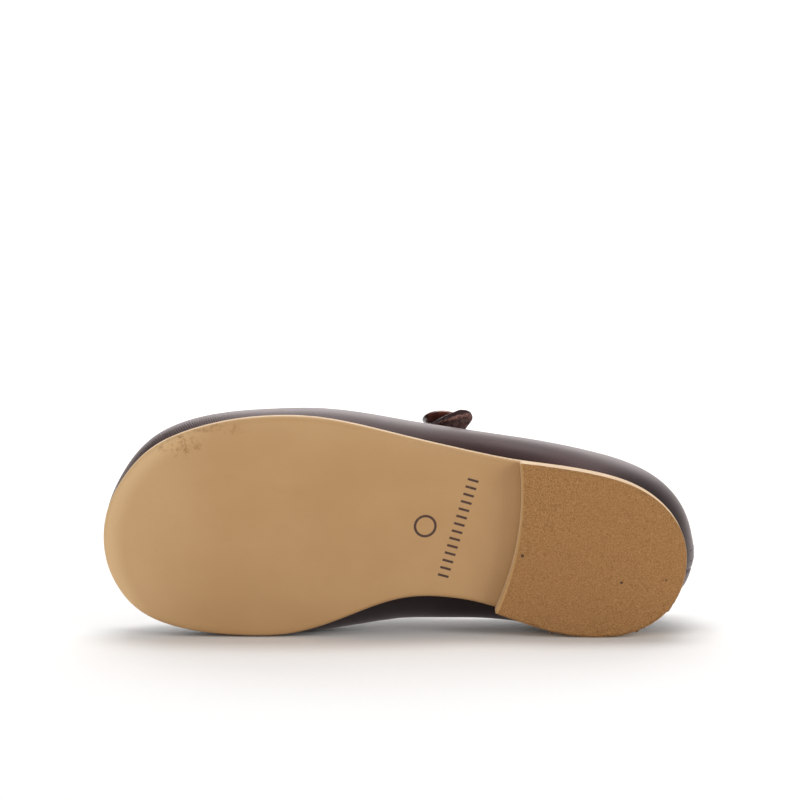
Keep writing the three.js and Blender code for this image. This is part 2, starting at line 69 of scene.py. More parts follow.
# %% Measure the shoe's directions
tread = [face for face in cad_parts["heel_lift"].data.polygons if face.normal.y < -0.9]
UP = -sum((face.normal * face.area for face in tread), Vector()).normalized()
TOE = Vector((-UP.z, 0, UP.x)).normalized()
OUTER = UP.cross(TOE)
sole_points = [v.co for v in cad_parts["outsole"].data.vertices]
heel_back = min(point.dot(TOE) for point in sole_points)
sole_sides = [point.dot(OUTER) for point in sole_points]
ORIGIN = TOE * heel_back + OUTER * (min(sole_sides) + max(sole_sides)) / 2 + UP * tread[0].center.dot(UP)


def shoe_place(along, across, height):
    """A place given in millimetres in the shoe's own directions, from the back of the heel."""
    return ORIGIN + (TOE * along + OUTER * across + UP * height) * MM


def in_shoe(point):
    """The shoe's own along, across and height of a point, in millimetres."""
    offset = (point - ORIGIN) / MM
    return offset.dot(TOE), offset.dot(OUTER), offset.dot(UP)


print("up", [round(v, 4) for v in UP], "toe", [round(v, 4) for v in TOE])

# %% [markdown]
# ## The camera
# The picture was taken from a little above the floor with a long lens, which keeps the sole's outline
# nearly free of perspective. A long lens far away gives the same drawing, where a short one close by would
# swell the middle of the sole.

# %% Set up the camera
PITCH = math.radians(4.94)
lens = bpy.data.cameras.new("camera")
lens.lens, lens.sensor_width = 135, 36
camera = bpy.data.objects.new("camera", lens)
camera.location = Vector((-0.5, -863.5, 140.4)) * MM
camera.rotation_euler = (math.pi / 2 - PITCH, 0, 0)
bpy.context.collection.objects.link(camera)
bpy.context.scene.camera = camera
bpy.context.scene.view_settings.view_transform = "Standard"
print("camera looks down by", round(math.degrees(PITCH), 1), "degrees")

# %% [markdown]
# ## Floor and light
# A product photographer lays paper on the table and lets it sweep up behind the shoe, so that no horizon
# shows. One edge spun through a quarter turn makes that bend.

# %% Build the paper sweep
FLOOR_FRONT, FLOOR_BACK, SWEEP_RADIUS, FLOOR_HALF, WALL_HEIGHT = -2.1, 1.4, 0.8, 2.1, 2.2
BEND_STEPS = 16
sweep = bmesh.new()


def edges_of(parts):
    """The edges among the parts that an operator gives back."""
    return [part for part in parts if isinstance(part, bmesh.types.BMEdge)]


def pull(row, way):
    """Draws a sheet of paper out of a row of edges, and returns the edges at its far end."""
    made = bmesh.ops.extrude_edge_only(sweep, edges=row)["geom"]
    corners = [part for part in made if isinstance(part, bmesh.types.BMVert)]
    bmesh.ops.translate(sweep, verts=corners, vec=way)
    return [edge for edge in edges_of(made) if all(corner in corners for corner in edge.verts)]


ends = [sweep.verts.new((side * FLOOR_HALF, FLOOR_FRONT, 0)) for side in (-1, 1)]
row = pull([sweep.edges.new(ends)], Vector((0, FLOOR_BACK - FLOOR_FRONT, 0)))
bend = bmesh.ops.spin(sweep, geom=row, cent=(0, FLOOR_BACK, SWEEP_RADIUS), axis=(1, 0, 0), dvec=(0, 0, 0),
                      angle=math.pi / 2, steps=BEND_STEPS, use_duplicate=False)["geom_last"]
pull(edges_of(bend), Vector((0, 0, WALL_HEIGHT)))
bmesh.ops.recalc_face_normals(sweep, faces=sweep.faces)
paper_mesh = bpy.data.meshes.new("paper")
sweep.to_mesh(paper_mesh)
sweep.free()
paper_mesh.shade_smooth()
paper = bpy.data.objects.new("paper", paper_mesh)
bpy.context.collection.objects.link(paper)
paper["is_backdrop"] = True
print("paper faces", len(paper_mesh.polygons))

# %% [markdown]
# A long soft box behind the shoe draws the sheen along the upper, which fades towards the sole. Two smaller
# ones in front light the sole, one hangs above, and one lights the paper's bend. A pale world fills the
# shadows, so that only the contact with the floor stays dark. Behind the paper's edge the world shows as
# white as the paper, but it shines with a third of that, or it would wash the leather out.


# %% Hang the lights
def soft_light(name, power, width, depth, place, aim=(0, 0, 0.03)):
    """A flat soft box that looks at the shoe."""
    data = bpy.data.lights.new(name, "AREA")
    data.shape, data.size, data.size_y, data.energy = "RECTANGLE", width, depth, power
    lamp = bpy.data.objects.new(name, data)
    lamp.location = place
    lamp.rotation_euler = (Vector(aim) - Vector(place)).to_track_quat("-Z", "Y").to_euler()
    bpy.context.collection.objects.link(lamp)


soft_light("back_key", 8.3, 2.0, 0.6, (-0.15, 1.45, 0.85))
soft_light("top_fill", 7.0, 1.3, 1.2, (0.1, 0.8, 1.4))
soft_light("left_fill", 7.6, 1.0, 1.0, (-1.1, -1.2, 0.42))
soft_light("right_fill", 9.9, 0.8, 0.8, (1.25, -1.0, 0.6))
soft_light("sweep_light", 34, 1.5, 1.5, (0, 0.6, 2.3), aim=(0, 2.3, 0.6))
SEEN, SHINED = 1.0, 0.32
world = bpy.data.worlds.new("world")
world.use_nodes = True
sky = world.node_tree.nodes["Background"]
sky.inputs["Color"].default_value = (1, 1, 1, 1)
ray = world.node_tree.nodes.new("ShaderNodeLightPath")
strength = world.node_tree.nodes.new("ShaderNodeMapRange")
strength.inputs["To Min"].default_value, strength.inputs["To Max"].default_value = SHINED, SEEN
world.node_tree.links.new(ray.outputs["Is Camera Ray"], strength.inputs["Value"])
world.node_tree.links.new(strength.outputs["Result"], sky.inputs["Strength"])
bpy.context.scene.world = world

# %% [markdown]
# ## A small language for finishes
# A finish is a tree of shader nodes. Wiring them by hand is long and hard to read, so a socket is wrapped
# in a class that knows plain arithmetic: writing mask * 0.3 + grain adds the Math nodes. Every other node
# comes from one method that takes its type, its settings and its inputs.


# %% Arithmetic on shader sockets
class Value:
    """A number, colour or direction that a node gives out."""

    def __init__(self, finish, socket):
        self.finish, self.socket = finish, socket

    def maths(self, operation, *values):
        inputs = dict(enumerate(values))
        return self.finish.node("ShaderNodeMath", {"operation": operation}, inputs)

    def __add__(self, other):
        return self.maths("ADD", self, other)

    def __sub__(self, other):
        return self.maths("SUBTRACT", self, other)

    def __rsub__(self, other):
        return self.maths("SUBTRACT", other, self)

    def __mul__(self, other):
        return self.maths("MULTIPLY", self, other)

    def __truediv__(self, other):
        return self.maths("DIVIDE", self, other)

    def __pow__(self, other):
        return self.maths("POWER", self, other)

    def __abs__(self):
        return self.maths("ABSOLUTE", self)

    __radd__, __rmul__ = __add__, __mul__

    def sine(self):
        return self.maths("SINE", self)

    def most(self, other):
        return self.maths("MAXIMUM", self, other)

    def step(self, low, high):
        """0 below low and 1 above high, with a smooth way between, or the other way round."""
        inputs = {"Value": self, "From Min": min(low, high), "From Max": max(low, high)}
        rising = self.finish.node("ShaderNodeMapRange", {"interpolation_type": "SMOOTHSTEP"}, inputs)
        return rising if low < high else 1 - rising


print("besides arithmetic, a socket knows", [name for name in vars(Value) if not name.startswith("_")])

# %% [markdown]
# A finish starts from Blender's Principled surface. Its noise and cells are placed by Object coordinates,
# so a pattern sticks to the piece without any unwrapping. A colour picked on a screen isn't in the linear
# numbers that Blender reckons light with, so paint turns it into those first.


# %% A finish and its nodes
def paint(code):
    """A colour as Blender wants it, from the six hex digits of a screen colour."""
    screen = [int(code[i:i + 2], 16) / 255 for i in (0, 2, 4)]
    return tuple(c / 12.92 if c < 0.04045 else ((c + 0.055) / 1.055) ** 2.4 for c in screen) + (1,)


class Finish:
    """A material with one glossy or matt surface, built node by node."""

    def __init__(self, name, roughness=0.5, **constants):
        self.material = bpy.data.materials.new(name)
        self.material.use_nodes = True
        self.tree = self.material.node_tree
        self.surface = self.tree.nodes["Principled BSDF"]
        self.surface.inputs["Roughness"].default_value = roughness
        for socket, value in constants.items():
            self.surface.inputs[socket.replace("_", " ")].default_value = value
        self.object = self.node("ShaderNodeTexCoord", output="Object")

    def node(self, kind, settings=None, inputs=None, output=0):
        made = self.tree.nodes.new(kind)
        for key, value in (settings or {}).items():
            setattr(made, key, value)
        self.fill(made, inputs or {})
        return Value(self, made.outputs[output])

    def fill(self, node, inputs):
        for key, value in inputs.items():
            if isinstance(value, Value):
                self.tree.links.new(value.socket, node.inputs[key])
            else:
                node.inputs[key].default_value = value

    def noise(self, scale, detail=3, roughness=0.55, at=None):
        inputs = {"Vector": at or self.object, "Scale": scale, "Detail": detail, "Roughness": roughness}
        return self.node("ShaderNodeTexNoise", inputs=inputs)

    def cells(self, scale):
        """The distance to the middle of the nearest cell."""
        inputs = {"Vector": self.object, "Scale": scale}
        return self.node("ShaderNodeTexVoronoi", inputs=inputs, output="Distance")

    def mix(self, mask, first, second):
        return self.node("ShaderNodeMix", {"data_type": "RGBA"}, {0: mask, 6: first, 7: second}, output=2)

    def measure(self, direction):
        """How far a surface point lies along one of the shoe's own directions, in millimetres."""
        inputs = {0: self.object, 1: tuple(direction / MM)}
        dot = self.node("ShaderNodeVectorMath", {"operation": "DOT_PRODUCT"}, inputs, output="Value")
        return dot - ORIGIN.dot(direction) / MM

    def stretched(self, along, across, height):
        """Object coordinates squeezed by a share in each of the shoe's own directions."""
        parts = [self.measure(way) * (MM * share)
                 for way, share in ((TOE, along), (OUTER, across), (UP, height))]
        return self.node("ShaderNodeCombineXYZ", inputs=dict(enumerate(parts)))

    def bump(self, height, distance):
        inputs = {"Strength": 1, "Distance": distance, "Height": height}
        normal = self.node("ShaderNodeBump", inputs=inputs)
        self.fill(self.surface, {"Normal": normal})

    def wear(self, **inputs):
        self.fill(self.surface, {key.replace("_", " "): value for key, value in inputs.items()})
        return self.material


print("the sole's tan in linear light", [round(c, 3) for c in paint("b8926a")])

# %% [markdown]
# ## Paper
# The sweep is plain white paper. It gets a very faint fibre, so that it doesn't look like a void.

# %% Paint the paper
backdrop = Finish("white_paper", roughness=0.9, Specular_IOR_Level=0.1)
fibre = backdrop.noise(700, 2)
paper_mesh.materials.append(backdrop.wear(Base_Color=backdrop.mix(fibre, paint("f4f3f2"), paint("f9f8f7"))))
print("backdrop nodes", len(backdrop.tree.nodes))

# %% [markdown]
# ## Smooth dark leather
# The upper is calf leather in a dark aubergine brown, polished but not varnished: very fine grain, a soft
# shine and a slightly redder tone in places. Next to the sole, on the inner side and round the heel, the
# leather is painted nearly black: painted shade where the wall turns down towards the floor.

# %% Dark leather
leather = Finish("upper_leather", roughness=0.36, Specular_IOR_Level=0.34, Coat_Weight=0.04,
                 Coat_Roughness=0.25, Specular_Tint=(1, 0.74, 0.76, 1), Sheen_Weight=0.25,
                 Sheen_Roughness=0.4, Sheen_Tint=(1, 0.82, 0.82, 1))
AUBERGINE, RED_AUBERGINE = paint("261212"), paint("331918")
tone, pores, grain = leather.noise(38, 3), leather.cells(1500), leather.noise(1900, 4, 0.65)
along, across, height = (leather.measure(way) for way in (TOE, OUTER, UP))
colour = leather.mix(tone.step(0.35, 0.7), AUBERGINE, RED_AUBERGINE)
colour = leather.mix(pores.step(0.5, 0.9) * 0.35, colour, paint("150d0e"))
at_waist, at_heel = across.step(0, -10), along.step(28, 8)
# Painted shade: nearly black next to the sole on the inner side and round the heel, where the wall is
# turned from the light.
painted_shade = height.step(26, 10) * at_waist.most(at_heel * 0.8)
colour = leather.mix(painted_shade, colour, paint("0a0505"))
print("leather nodes so far", len(leather.tree.nodes))

# %% [markdown]
# Near the toe the leather is drawn down over the last, which leaves short fine creases that run straight up
# from the sole. They follow the angle round the toe, so their pattern is a sine of that angle, broken up by
# noise. As small as they are, a bump is enough for them.

# %% Creases at the toe
TURN_ALONG, TURN_ACROSS, CREASES_PER_TURN, WANDER = 112, -6, 430, 12
angle = height.maths("ARCTAN2", across - TURN_ACROSS, along - TURN_ALONG)
near_sole = height.step(21, 11) * along.step(126, 140)
creases = (angle * CREASES_PER_TURN + leather.noise(160, 2) * WANDER).sine()
creases = creases * near_sole * leather.noise(110, 1).step(0.25, 0.5)
leather.bump(pores * 0.2 + grain * 0.2 + creases * 0.9, 0.00006)
upper_leather = leather.wear(Base_Color=colour, Roughness=grain * 0.14 + tone * 0.08 + 0.32)
print("leather nodes", len(leather.tree.nodes))

# %% [markdown]
# ## Lining, sock and strap
# Inside, such a shoe is lined with natural, undyed leather. It is matt, a little fuzzy and blotched by
# handling.


# %% Natural leather
def natural_leather(name, light, dark):
    """A matt undyed hide between two colours."""
    hide = Finish(name, roughness=0.75, Specular_IOR_Level=0.2)
    blotch, fibre, pores = hide.noise(60, 3), hide.noise(900, 4, 0.7), hide.cells(1300)
    colour = hide.mix(blotch.step(0.3, 0.75) * 0.6 + fibre * 0.4, paint(dark), paint(light))
    hide.bump(fibre * 0.7 + pores * 0.3, 0.00008)
    return hide.wear(Base_Color=colour, Roughness=fibre * 0.2 + 0.62)


lining_leather = natural_leather("lining_leather", "d3b48d", "bb9770")
sock_leather = natural_leather("sock_leather", "c9a67c", "ad875f")
print("linings", lining_leather.name, sock_leather.name)

# %% [markdown]
# The strap is cut from one thick hide: dark and smooth outside, brown and ragged inside. Both show in its
# cut edge, where they meet in an uneven line. The piece carries a value called depth, 0 on its outside and
# 1 on its inside, and noise added to that value breaks the line up.

# %% Strap leather, outside and flesh side
band = Finish("strap_band", roughness=0.4, Specular_IOR_Level=0.28)
inward = band.node("ShaderNodeAttribute", {"attribute_name": "depth"}, output="Fac")
flesh = (inward + band.noise(900, 3) * 0.6).step(0.84, 0.92)
tone, grain, fibre = band.noise(38, 3), band.noise(1900, 3), band.noise(1100, 4, 0.7)
smooth_side = band.mix(tone.step(0.35, 0.7), AUBERGINE, RED_AUBERGINE)
flesh_side = band.mix(fibre.step(0.36, 0.64), paint("4a2c27"), paint("90675d"))
band.bump(grain * 0.2 * (1 - flesh) + fibre * 5 * flesh, 0.00006)
strap_band = band.wear(Base_Color=band.mix(flesh, smooth_side, flesh_side), Coat_Weight=0.06 * (1 - flesh),
                       Roughness=(grain * 0.14 + 0.3) * (1 - flesh) + (fibre * 0.2 + 0.6) * flesh)
print("strap nodes", len(band.tree.nodes))

# %% [markdown]
# ## The tan sole
# The outsole is a smooth tan sheet, satin and nearly flat in colour. Painted light makes it a touch lighter
# towards the outer edge and the toe, most of all in a band along the toe's rim: a painted highlight on the
# parts that turn towards the light. The toe is close to an ellipse, so the distance from the ellipse's
# middle, as a share of its radius, tells where that rim is.

# %% Tan sole sheet
ELLIPSE = {"along": 113.5, "across": -6.3, "length": 51, "breadth": 38.3}
sheet = Finish("tan_sheet", roughness=0.55, IOR=1.48)
along, across = sheet.measure(TOE), sheet.measure(OUTER)
cloud = sheet.noise(26, 4, 0.6)
streak = sheet.noise(240, 3, at=sheet.stretched(0.3, 1, 1))
dust = sheet.noise(2600, 2)
colour = sheet.mix(cloud.step(0.3, 0.7) * 0.55 + streak * 0.3, paint("b18858"), paint("bd9566"))
out_along = (along - ELLIPSE["along"]) / ELLIPSE["length"]
out_across = (across - ELLIPSE["across"]) / ELLIPSE["breadth"]
# Painted highlight: the toe, its rim and the outer edge are painted lighter where they turn towards the
# light.
painted_toe_rim_highlight = ((out_along ** 2 + out_across ** 2) ** 0.5).step(0.88, 1) * along.step(130, 155)
colour = sheet.mix(along.step(130, 165) * 0.35, colour, paint("cfaa7b"))
colour = sheet.mix(painted_toe_rim_highlight * 0.5, colour, paint("e0bc8c"))
colour = sheet.mix(across.step(16, 34) * 0.3, colour, paint("c9a475"))
colour = sheet.mix(dust.step(0.55, 0.8) * 0.25, colour, paint("a67c50"))
print("sole nodes so far", len(sheet.tree.nodes))

# %% [markdown]
# Use leaves its marks: a brown scuff where the toe has touched the ground, a graze along the toe's edge,
# rubbed places at the waist and a few dark specks. Each mark is a soft oval filled with noise. The specks
# are the middles of Voronoi cells, kept where a broad noise is high.


# %% Scuffs and specks
def patch(middle, reach, scale, low, high):
    """A patchy oval on the sole, with its middle and reach given as along and across."""
    far_along, far_across = (along - middle[0]) / reach[0], (across - middle[1]) / reach[1]
    inside = (far_along ** 2 + far_across ** 2).step(1, 0)
    return inside * sheet.noise(scale, 4, 0.7).step(low, high)


scuff = patch((145, 21), (9, 4.5), 620, 0.48, 0.64)
graze = patch((137, 27), (13, 2.4), 600, 0.46, 0.66)
outer_rub = patch((56, 28), (10, 3), 350, 0.48, 0.66)
inner_rub = patch((60, -19), (14, 3), 300, 0.46, 0.66)
marks = scuff.most(graze).most(outer_rub).most(inner_rub)
colour = sheet.mix(marks * 0.65, colour, paint("8b6130"))
specks = sheet.cells(95).step(0.045, 0.02) * sheet.noise(40, 1).step(0.56, 0.6)
colour = sheet.mix(specks * 0.8, colour, paint("6b4a2c"))
print("sole nodes with its marks", len(sheet.tree.nodes))

# %% [markdown]
# Where such a sole is printed, a plain ring and a row of ticks, which say nothing, fill the place. They are
# drawn with distances alone: a ring is where the distance to its middle is close to its radius, and the
# ticks are a wave along a line, kept where the distance to the line is small.

# %% A plain stamped mark
RING = {"along": 74, "across": 3.5, "radius": 2.9}
TICKS = {"along": 64.5, "across": 4, "half": 15.5, "height": 1.7, "pitch": 2.2, "slant": math.radians(12)}
STROKE = 0.36
from_ring = ((along - RING["along"]) ** 2 + (across - RING["across"]) ** 2) ** 0.5
ring = abs(from_ring - RING["radius"]).step(STROKE + 0.12, STROKE - 0.12)
cos, sin = math.cos(TICKS["slant"]), math.sin(TICKS["slant"])
u, v = along - TICKS["along"], across - TICKS["across"]
down_row, off_row = v * cos - u * sin, u * cos + v * sin
wave = (down_row * (2 * math.pi / TICKS["pitch"])).sine()
ticks = wave.step(0.35, 0.75) * abs(off_row).step(TICKS["height"], TICKS["height"] - 0.25)
ticks = ticks * abs(down_row).step(TICKS["half"], TICKS["half"] - 0.2)
stamp = ring.most(ticks) * sheet.noise(900, 2).step(0.12, 0.36)
colour = sheet.mix(stamp, colour, paint("452b20"))
sheet.bump(cloud * 0.6 + dust * 0.12 + streak * 0.2 - specks * 0.5 - stamp * 0.25 - scuff * 0.3, 0.00012)
tan_sheet = sheet.wear(Base_Color=colour, Roughness=streak * 0.1 + dust * 0.06 + scuff * 0.2 + 0.44)
print("sole nodes", len(sheet.tree.nodes))

# %% [markdown]
# The cut edge of both sheets is pale cream. A knife leaves fine lines along it, which is noise squeezed in
# two directions, and handling leaves it browner in places.

# %% Pale cut edge
trim = Finish("cut_edge", roughness=0.6)
layers = trim.noise(900, 3, at=trim.stretched(0.08, 0.08, 1))
handled = trim.noise(300, 3)
colour = trim.mix(layers.step(0.3, 0.7), paint("cba982"), paint("d6b88f"))
colour = trim.mix(handled.step(0.58, 0.75) * 0.4, colour, paint("b58f66"))
trim.bump(layers * 0.7 + handled * 0.3, 0.0001)
cut_edge = trim.wear(Base_Color=colour, Roughness=handled * 0.2 + 0.5)
print("edge nodes", len(trim.tree.nodes))

# %% [markdown]
# ## The speckled heel
# The heel lift is cut from a sheet of rubber with ground cork in it. Its face is sanded: a fine, even
# speckle in two browns, with a few dark crumbs and pits. Two sizes of noise give the crumb, and the cells
# of a Voronoi texture pick out the few dark ones. The bevel at the breast, the lift's hollow front, gets a
# painted highlight: a paler band where its edge catches the light. The breast is close to a parabola, so
# that is what the mask follows.

# %% Speckled heel sheet
BREAST_ALONG, BREAST_ACROSS, BREAST_HOLLOW = 47, 8, 0.006
crumb = Finish("speckled_sheet", roughness=0.8, Specular_IOR_Level=0.3)
fine, coarse, broad = crumb.noise(4200, 2, 0.7), crumb.noise(2300, 2), crumb.noise(30, 2)
mixed = (fine * 0.6 + coarse * 0.4).step(0.38, 0.62)
colour = crumb.mix(mixed, paint("845c31"), paint("b08250"))
colour = crumb.mix(broad.step(0.35, 0.7) * 0.3, colour, paint("9d7045"))
dark = crumb.cells(560).step(0.2, 0.1) * crumb.noise(210, 1).step(0.55, 0.62)
pale = crumb.cells(700).step(0.16, 0.08) * crumb.noise(260, 1).step(0.56, 0.62)
breast = (crumb.measure(OUTER) - BREAST_ACROSS) ** 2 * BREAST_HOLLOW + BREAST_ALONG
# Painted highlight: the bevel along the breast is painted paler where its edge catches the light.
painted_breast_highlight = (crumb.measure(TOE) - breast).step(-0.3, 0.2)
pits = crumb.cells(120).step(0.075, 0.05) * crumb.noise(55, 1).step(0.54, 0.56)
colour = crumb.mix(dark * 0.6, colour, paint("6f4b29"))
colour = crumb.mix(pale * 0.5, colour, paint("c39a66"))
colour = crumb.mix(pits * 0.9, colour, paint("45301f"))
colour = crumb.mix(painted_breast_highlight * 0.7, colour, paint("c9a06b"))
crumb.bump(fine * 0.6 + coarse * 0.4 - dark * 0.5 - pits, 0.00012)
speckled_sheet = crumb.wear(Base_Color=colour, Roughness=fine * 0.2 + 0.66)
print("heel sheet nodes", len(crumb.tree.nodes))

# %% [markdown]
# ## Button and thread
# The button is turned from horn-like plastic: red-brown, clouded and very glossy. The thread is waxed, dark
# brown, and catches a little light on its twist.

# %% Button and thread finishes
horn = Finish("horn_plastic", roughness=0.12, Coat_Weight=0.6, Coat_Roughness=0.06, IOR=1.53)
swirl = horn.noise(210, 4, 0.6)
colour = horn.mix(swirl.step(0.38, 0.66), paint("3a1a17"), paint("7a4436"))
horn.bump(horn.noise(500, 2), 0.00002)
horn_plastic = horn.wear(Base_Color=colour, Roughness=swirl * 0.1 + 0.08)
thread = Finish("waxed_thread", roughness=0.5)
twist = thread.noise(1600, 2)
thread.bump(twist, 0.00005)
waxed_thread = thread.wear(Base_Color=thread.mix(twist, paint("241617"), paint("4a3531")))
print("button nodes", len(horn.tree.nodes), "thread nodes", len(thread.tree.nodes))

# %% [markdown]
# ## From packed nodes to finished pieces
# A packed node is a loose set of flat triangles. A copy of it is welded, and pairs of triangles are joined
# to four-sided faces, because a Subdivision Surface rounds those evenly.


# %% Copy, weld and join
def copy_of(node):
    """The shape of a packed node as a welded bmesh of mostly four-sided faces."""
    mesh = bmesh.new()
    mesh.from_mesh(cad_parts[node].data)
    bmesh.ops.remove_doubles(mesh, verts=mesh.verts, dist=2e-6)
    bmesh.ops.join_triangles(mesh, faces=mesh.faces, angle_face_threshold=math.radians(30),
                             angle_shape_threshold=math.radians(50))
    return mesh


outsole = copy_of("outsole")
print("outsole faces", len(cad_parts["outsole"].data.polygons), "joined to", len(outsole.faces))

# %% [markdown]
# Sharp edges get a crease, so that the rounding doesn't melt a sole's rim.


# %% Crease the sharp edges
def turns_by(edge, degrees):
    """Whether the two faces of an edge turn by more than an angle."""
    return len(edge.link_faces) == 2 and edge.calc_face_angle() > math.radians(degrees)


def crease(mesh, from_degrees, weight):
    """Marks the edges that turn by more than an angle, so that the rounding keeps them."""
    layer = mesh.edges.layers.float.get("crease_edge") or mesh.edges.layers.float.new("crease_edge")
    for edge in mesh.edges:
        if turns_by(edge, from_degrees):
            edge[layer] = weight


print("outsole edges that turn by 30 degrees", sum(turns_by(edge, 30) for edge in outsole.edges))

# %% [markdown]
# Rounding shrinks a shape a little. The corners are moved out first by as much as it would pull them in, so
# that the finished outline is the packed one, and none of them is left below the floor. Small pieces show
# their facets sooner and are rounded once more.


# %% Round a shape and hold its size
def object_from(mesh, name, finishes, levels=0):
    """Puts a bmesh into the scene as a smooth object, with a Subdivision Surface if it asks for levels."""
    data = bpy.data.meshes.new(name)
    mesh.to_mesh(data)
    mesh.free()
    if "custom_normal" in data.attributes:
        data.attributes.remove(data.attributes["custom_normal"])
    data.shade_smooth()
    for finish in finishes:
        data.materials.append(finish)
    made = bpy.data.objects.new(name, data)
    bpy.context.collection.objects.link(made)
    if levels:
        rounding = made.modifiers.new("rounding", "SUBSURF")
        rounding.levels = rounding.render_levels = levels
    return made


def rounded(mesh, levels):
    """The shape that a Subdivision Surface makes of a bmesh, as a new bmesh."""
    work = object_from(mesh.copy(), "work", [], levels)
    result = bmesh.new()
    result.from_mesh(work.evaluated_get(bpy.context.evaluated_depsgraph_get()).to_mesh())
    bpy.data.objects.remove(work)
    return result


def hold_size(mesh, levels, rounds=2):
    """Moves the corners out until the rounded surface passes through their old places, above the floor."""
    places = [vert.co.copy() for vert in mesh.verts]
    for _ in range(rounds):
        result = rounded(mesh, levels)
        result.verts.ensure_lookup_table()
        for i, vert in enumerate(mesh.verts):
            vert.co += places[i] - result.verts[i].co
        result.free()
    for vert in mesh.verts:
        vert.co.z = max(vert.co.z, 0)
    mesh.normal_update()


ROUNDING, FINE_ROUNDING = 2, 3
print("levels of rounding", ROUNDING, "and for small pieces", FINE_ROUNDING)

# %% [markdown]
# ## A fuller outline
# Leather and rubber give a little. At the toe the sheet and the wall are drawn out by some tenths of a
# millimetre more than the packed ones. The wall also bulges over the sole's outer edge at the toe and the
# heel, and at the back beside the lap, with a groove along the lap's edge. Each of these places has a
# smooth way in and out, so that no step shows.


# %% Draw the outline out
def ease(value, start, end):
    """A smooth way from 0 at the start to 1 at the end."""
    share = min(max((value - start) / (end - start), 0), 1)
    return share * share * (3 - 2 * share)


TOE_OUT, TOE_SIDE_OUT, HEEL_SIDE_OUT, BACK_OUT = 0.4, 0.65, 0.5, 0.95
LAP_EDGE, LAP_GROOVE = -4.25, 0.9


def draw_out(mesh, wall):
    """Moves the corners of the sole sheet, or of the wall over it, out by tenths of a millimetre."""
    for vert in mesh.verts:
        along, across, _ = in_shoe(vert.co)
        toe = TOE_OUT * ease(along, 115, 155)
        outer = back = 0
        if wall:
            outer = TOE_SIDE_OUT * ease(along, 128, 160) * ease(across, -2, 16)
            outer += HEEL_SIDE_OUT * ease(along, 10, 26) * ease(along, 66, 44) * ease(across, 5, 17)
        if wall and across < LAP_EDGE:
            groove = 1 - LAP_GROOVE * ease(across, -5.4, -4.3)
            back = BACK_OUT * ease(across, -15, -9) * groove * ease(along, 20, 5)
        vert.co += (TOE * (toe - back) + OUTER * outer) * MM
    mesh.normal_update()


print("drawn out by up to", max(TOE_OUT, TOE_SIDE_OUT, HEEL_SIDE_OUT, BACK_OUT), "mm")

# %% [markdown]
# ## Outsole
# The outsole is one sheet that follows the foot: level under the heel, down through the waist, level under
# the ball and up at the toe. The packed node has all of that, and its lower rim is already bevelled, so it
# only needs rounding. The face towards the ground gets the tan finish, and the rim and side the pale edge.
# Every piece is then put on the shoe: it rides on a body and may stand for packed nodes.


# %% Finish the outsole
def put_on(piece, slot, *nodes):
    """Tells the frame a piece's body and the nodes that it stands for; the slot is not used."""
    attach(piece, "root")
    if nodes:
        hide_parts(*nodes)
    print(piece.name, len(piece.data.polygons), "faces before rounding")


def tread_first(mesh):
    """Gives the faces that look at the ground the first finish, and all others the second."""
    for face in mesh.faces:
        face.material_index = 0 if face.normal.dot(UP) < -0.4 else 1


tread_first(outsole)
draw_out(outsole, wall=False)
crease(outsole, 30, 0.8)
hold_size(outsole, ROUNDING)
put_on(object_from(outsole, "outsole_sheet", [tan_sheet, cut_edge], ROUNDING), "outsole", "outsole")

# %% [markdown]
# ## Heel lift
# The lift was knifed round after gluing, so its rim is a little ragged, but hardly so at the breast. The
# face is inset once to keep its border straight, the whole is subdivided, and the points of the rim are
# then pushed in and out by noise.

# %% Finish the heel lift
lift = copy_of("heel_lift")
bmesh.ops.dissolve_limit(lift, angle_limit=math.radians(1), verts=lift.verts, edges=lift.edges)
flats = [face for face in lift.faces if abs(face.normal.dot(UP)) > 0.9]
bmesh.ops.inset_individual(lift, faces=flats, thickness=1.2 * MM)
crease(lift, 30, 0.75)
lift = rounded(lift, FINE_ROUNDING)
RAGGED, RAG_SCALE, RAGGED_UP_TO, BREAST_SHARE = 1.2, 620, 43, 0.15
for vert in lift.verts:
    rim = [face for face in vert.link_faces if face.normal.dot(UP) < -0.9]
    if rim and len(rim) < len(vert.link_faces):
        out = sum((f.normal for f in vert.link_faces if f not in rim), Vector())
        out = (out - UP * out.dot(UP)).normalized()
        amount = RAGGED if in_shoe(vert.co)[0] < RAGGED_UP_TO else RAGGED * BREAST_SHARE
        vert.co += out * noise.noise(vert.co * RAG_SCALE) * amount * MM
tread_first(lift)
put_on(object_from(lift, "heel_lift_sheet", [speckled_sheet, cut_edge]), "heel_lift", "heel_lift")

# %% [markdown]
# ## Upper
# The upper is one skin, but a maker sees three parts of it: the dark leather outside, the pale lining
# inside, and the rim between them. A face belongs to the lining if it looks at the middle line of the foot,
# and to the rim if it touches the lining high up. At the back, where the wall is lapped, the rim takes in
# one more ring of faces that look up.

# %% Tell leather from lining
MIDDLE = {"from": 25, "to": 140, "across": 1.4, "height": 20}


def looks_inside(face):
    """Whether a face of the wall looks at the middle line of the foot."""
    along, across, height = in_shoe(face.calc_center_median())
    nearest = min(max(along, MIDDLE["from"]), MIDDLE["to"])
    return face.normal.dot(shoe_place(nearest, MIDDLE["across"], MIDDLE["height"])
                           - face.calc_center_median()) > 0


def neighbours(faces, known):
    """The faces that touch a set of faces and aren't known yet."""
    corners = {corner for face in faces for corner in face.verts}
    return {face for corner in corners for face in corner.link_faces} - known


